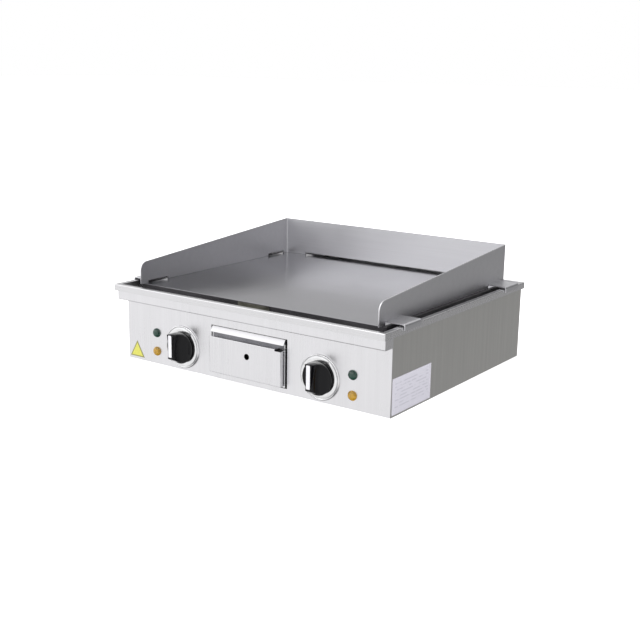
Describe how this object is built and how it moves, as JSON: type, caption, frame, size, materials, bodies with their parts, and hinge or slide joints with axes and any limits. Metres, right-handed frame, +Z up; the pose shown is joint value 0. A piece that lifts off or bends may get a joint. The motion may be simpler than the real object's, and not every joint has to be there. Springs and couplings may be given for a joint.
{
  "type": "flat top griddle",
  "caption": "Table-top electric griddle with a flat steel plate, lift-off three-sided splash guard, front grease gutter, grease drawer, rotary knobs and pilot lamps.",
  "frame": {"origin": "middle of the bounding box's underside, on the surface that the griddle stands on", "axes": "+X to the right seen from the front, -Y out of the control panel, +Z up"},
  "size_m": [0.5534, 0.497, 0.203],
  "materials": {
    "brass": "plain",
    "cable_sleeve": "glass-fibre sleeve",
    "casing_steel": "brushed stainless",
    "chrome_ring": "turned and polished",
    "copper_tube": "drawn copper",
    "dark_plastic": "moulded",
    "drawer_steel": "satin stainless",
    "element_alloy": "oxidised sheath",
    "fastener_steel": "bright zinc",
    "frame_steel": "satin stainless",
    "gland_plastic": "moulded nylon",
    "griddle_steel": "ground and polished carbon steel",
    "guard_steel": "satin stainless",
    "knob_black": "moulded, semi-gloss",
    "label_grey": "printed vinyl, blank",
    "label_yellow": "printed vinyl, blank",
    "lens_amber": "translucent, domed",
    "lens_green": "translucent, domed",
    "mineral_wool": "compressed fibre",
    "pale_plastic": "moulded",
    "panel_steel": "brushed stainless, vertical grain",
    "pointer_white": "inlay",
    "zinc_steel": "zinc-coated sheet"
  },
  "bodies": {
    "chassis": {"back_panel": "casing_steel", "base_plate": "casing_steel", "base_screws": "fastener_steel", "bezel_left": "chrome_ring", "bezel_right": "chrome_ring", "bonding_nuts": "brass", "bonding_stud": "brass", "casing": "casing_steel", "clamp_bars_left": "zinc_steel", "clamp_bars_right": "zinc_steel", "clamp_nuts": "fastener_steel", "clamp_studs": "fastener_steel", "control_panel": "panel_steel", "drain_chute": "frame_steel", "drain_lip": "frame_steel", "drawer_rail_left": "zinc_steel", "drawer_rail_right": "zinc_steel", "element_terminals": "fastener_steel", "front_band": "panel_steel", "gland_body": "gland_plastic", "gland_cap": "gland_plastic", "gland_nut": "gland_plastic", "grease_gutter": "frame_steel", "griddle_plate": "griddle_steel", "heat_shield": "zinc_steel", "heating_element_left": "element_alloy", "heating_element_right": "element_alloy", "hold_down_nuts": "fastener_steel", "hold_down_studs": "fastener_steel", "insulation": "mineral_wool", "lamp_holders": "dark_plastic", "lens_amber_left": "lens_amber", "lens_amber_right": "lens_amber", "lens_green_left": "lens_green", "lens_green_right": "lens_green", "rating_label": "label_grey", "safety_limiter": "dark_plastic", "sensor_left": "copper_tube", "sensor_right": "copper_tube", "support_angle_left": "zinc_steel", "support_angle_right": "zinc_steel", "terminal_block": "pale_plastic", "terminal_screws": "brass", "thermostat_left": "pale_plastic", "thermostat_right": "pale_plastic", "thermostat_screws": "fastener_steel", "top_frame": "frame_steel", "warning_label": "label_yellow", "wiring_loom_left": "cable_sleeve", "wiring_loom_right": "cable_sleeve"},
    "knob_left": {"knob_left": "knob_black", "pointer_left": "pointer_white", "shaft_left": "fastener_steel"},
    "knob_right": {"knob_right": "knob_black", "pointer_right": "pointer_white", "shaft_right": "fastener_steel"},
    "grease_drawer": {"drawer_front": "drawer_steel", "drawer_face": "drawer_steel", "drawer_tray": "drawer_steel"},
    "guard": {"splash_guard": "guard_steel"}
  },
  "joints": [
    {"name": "knob_left_turn", "type": "hinge", "parent": "chassis", "child": "knob_left", "pos_m": [-0.142, -0.216, 0.0404], "axis": [0, 1, 0], "range_deg": [0, 270]},
    {"name": "knob_right_turn", "type": "hinge", "parent": "chassis", "child": "knob_right", "pos_m": [0.142, -0.216, 0.0404], "axis": [0, 1, 0], "range_deg": [0, 270]},
    {"name": "drawer_slide", "type": "slide", "parent": "chassis", "child": "grease_drawer", "axis": [0, -1, 0], "range_m": [0, 0.2]},
    {"name": "guard_lift", "type": "slide", "parent": "chassis", "child": "guard", "axis": [0, 0, 1], "range_m": [0, 0.15]}
  ]
}
